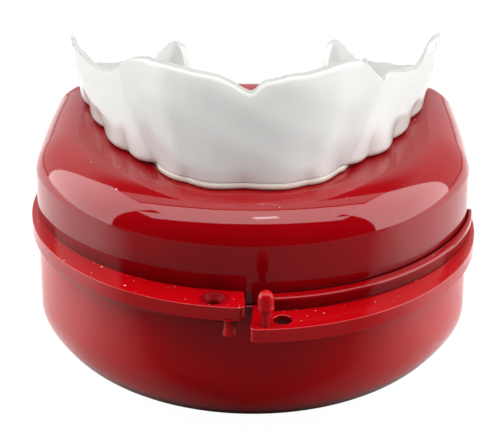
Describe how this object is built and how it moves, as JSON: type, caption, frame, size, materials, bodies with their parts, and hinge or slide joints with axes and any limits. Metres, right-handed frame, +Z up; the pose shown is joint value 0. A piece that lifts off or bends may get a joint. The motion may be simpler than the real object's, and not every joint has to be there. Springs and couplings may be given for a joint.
{
  "type": "mouthguard with case",
  "caption": "D-shaped hinged plastic case with half flanges, snap studs and lapping rims, and a laminated mouthguard resting on its lid.",
  "frame": {"origin": "on the underside of the case base, in the middle of the widest line of the case", "axes": "+Z up, -Y towards the round front with the flange ends, +Y towards the hinge, +X towards the snap stud of the base"},
  "size_m": [0.0821, 0.0785, 0.0668],
  "materials": {
    "case_plastic": "glossy moulded red plastic",
    "pin_steel": "drawn wire",
    "guard_clear": "glossy translucent milky EVA",
    "guard_white": "glossy opaque white EVA",
    "guard_bite_pad": "cream EVA, satin"
  },
  "bodies": {
    "case_base": {"base_shell": "case_plastic", "base_thumb_flange": "case_plastic", "base_rim": "case_plastic", "base_snap_stud": "case_plastic", "base_ear_left_outer": "case_plastic", "base_ear_left_inner": "case_plastic", "base_ear_right_outer": "case_plastic", "base_ear_right_inner": "case_plastic", "hinge_pin_left": "pin_steel", "hinge_pin_right": "pin_steel"},
    "case_lid": {"lid_shell": "case_plastic", "lid_thumb_flange": "case_plastic", "lid_rim": "case_plastic", "lid_snap_stud": "case_plastic", "lid_knuckle_left": "case_plastic", "lid_knuckle_right": "case_plastic"},
    "mouthguard": {"mouthguard_bite_pad": "guard_bite_pad", "mouthguard_tray": "guard_clear", "mouthguard_front_panel": "guard_white"}
  },
  "joints": [
    {"name": "lid_hinge", "type": "hinge", "parent": "case_base", "child": "case_lid", "pos_m": [0, 0.0322, 0.0275], "axis": [-1, 0, 0], "range_deg": [0, 120]},
    {"name": "mouthguard_lift", "type": "slide", "parent": "case_lid", "child": "mouthguard", "axis": [0, 0, 1], "range_m": [0, 0.03]}
  ]
}
